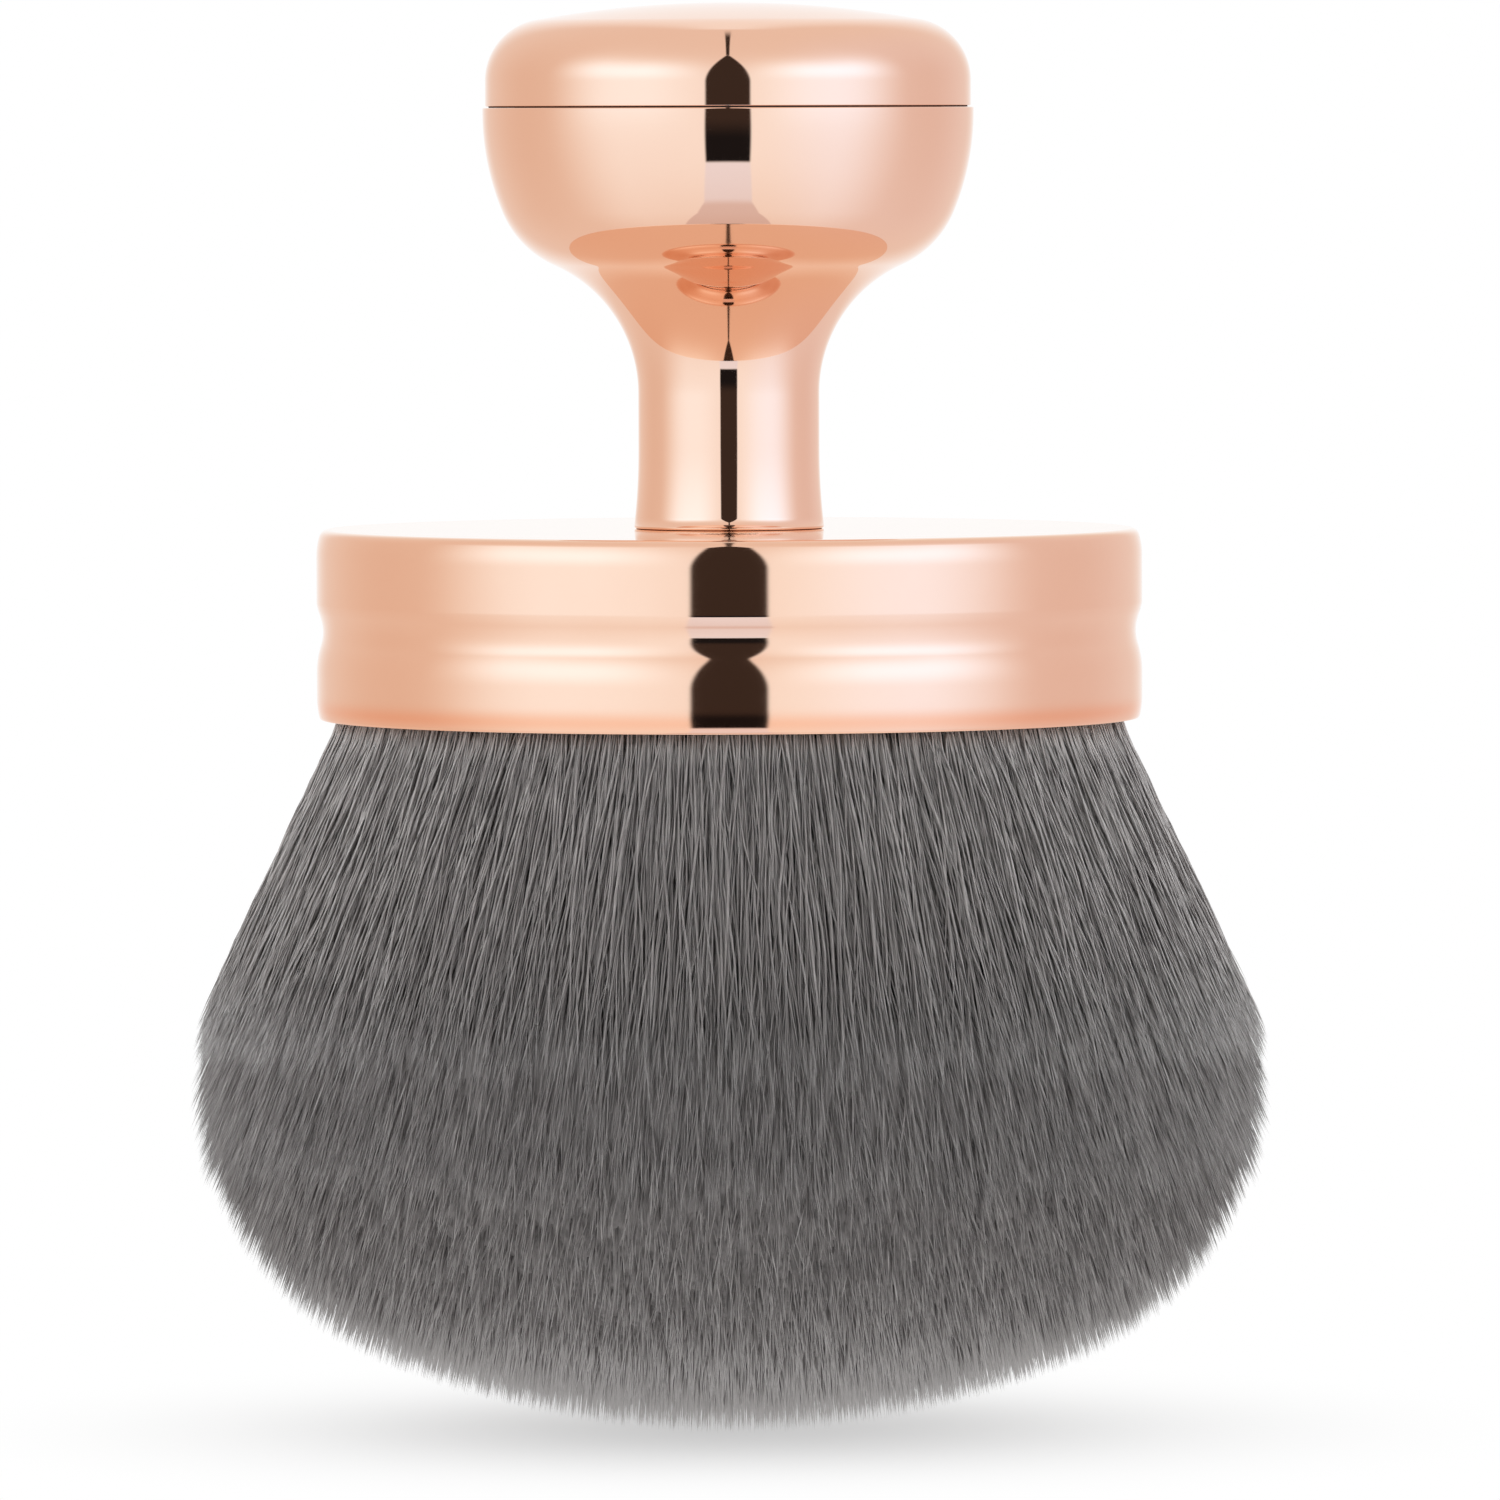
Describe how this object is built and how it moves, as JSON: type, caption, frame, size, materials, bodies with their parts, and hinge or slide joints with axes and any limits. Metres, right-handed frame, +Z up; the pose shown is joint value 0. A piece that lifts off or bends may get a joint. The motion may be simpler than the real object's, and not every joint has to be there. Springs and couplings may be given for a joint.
{
  "type": "kabuki makeup brush",
  "caption": "Short, wide makeup brush: mirror-plated knob handle on a grooved metal ferrule, with a fanned, dome-tipped pack of soft grey bristles for powder.",
  "frame": {"origin": "centre of the small flat on which the bristle tips stand, on the brush's axis", "axes": "+Z up along the brush's axis from the bristle tips to the end cap; +X to the right in the picture's view"},
  "size_m": [0.0746, 0.0746, 0.0995],
  "materials": {
    "plated_plastic": "polished",
    "ferrule_metal": "polished",
    "bristles": "satin",
    "adhesive": "gloss",
    "felt": "matte",
    "weight_steel": "satin",
    "fastener_steel": "satin",
    "insert_brass": "satin",
    "moulded_plastic": "matte",
    "resin": "gloss"
  },
  "bodies": {
    "bristles": {"bristle_head": "bristles"},
    "handle": {"end_cap": "plated_plastic", "handle_shell": "plated_plastic", "cap_adhesive_bead": "adhesive", "weight_pad": "felt", "balance_weight": "weight_steel", "clamp_screw": "fastener_steel", "screw_washer": "fastener_steel", "threaded_insert": "insert_brass", "ferrule": "ferrule_metal", "ferrule_plug": "moulded_plastic", "root_resin": "resin", "root_ring": "moulded_plastic", "bristle_core": "bristles"}
  },
  "joints": [
    {"name": "bristle_flex", "type": "hinge", "parent": "bristles", "child": "handle", "pos_m": [0, 0, 0.0415], "axis": [0, 1, 0], "range_deg": [-15, 15], "stiffness_Nm_per_rad": 0.4}
  ]
}
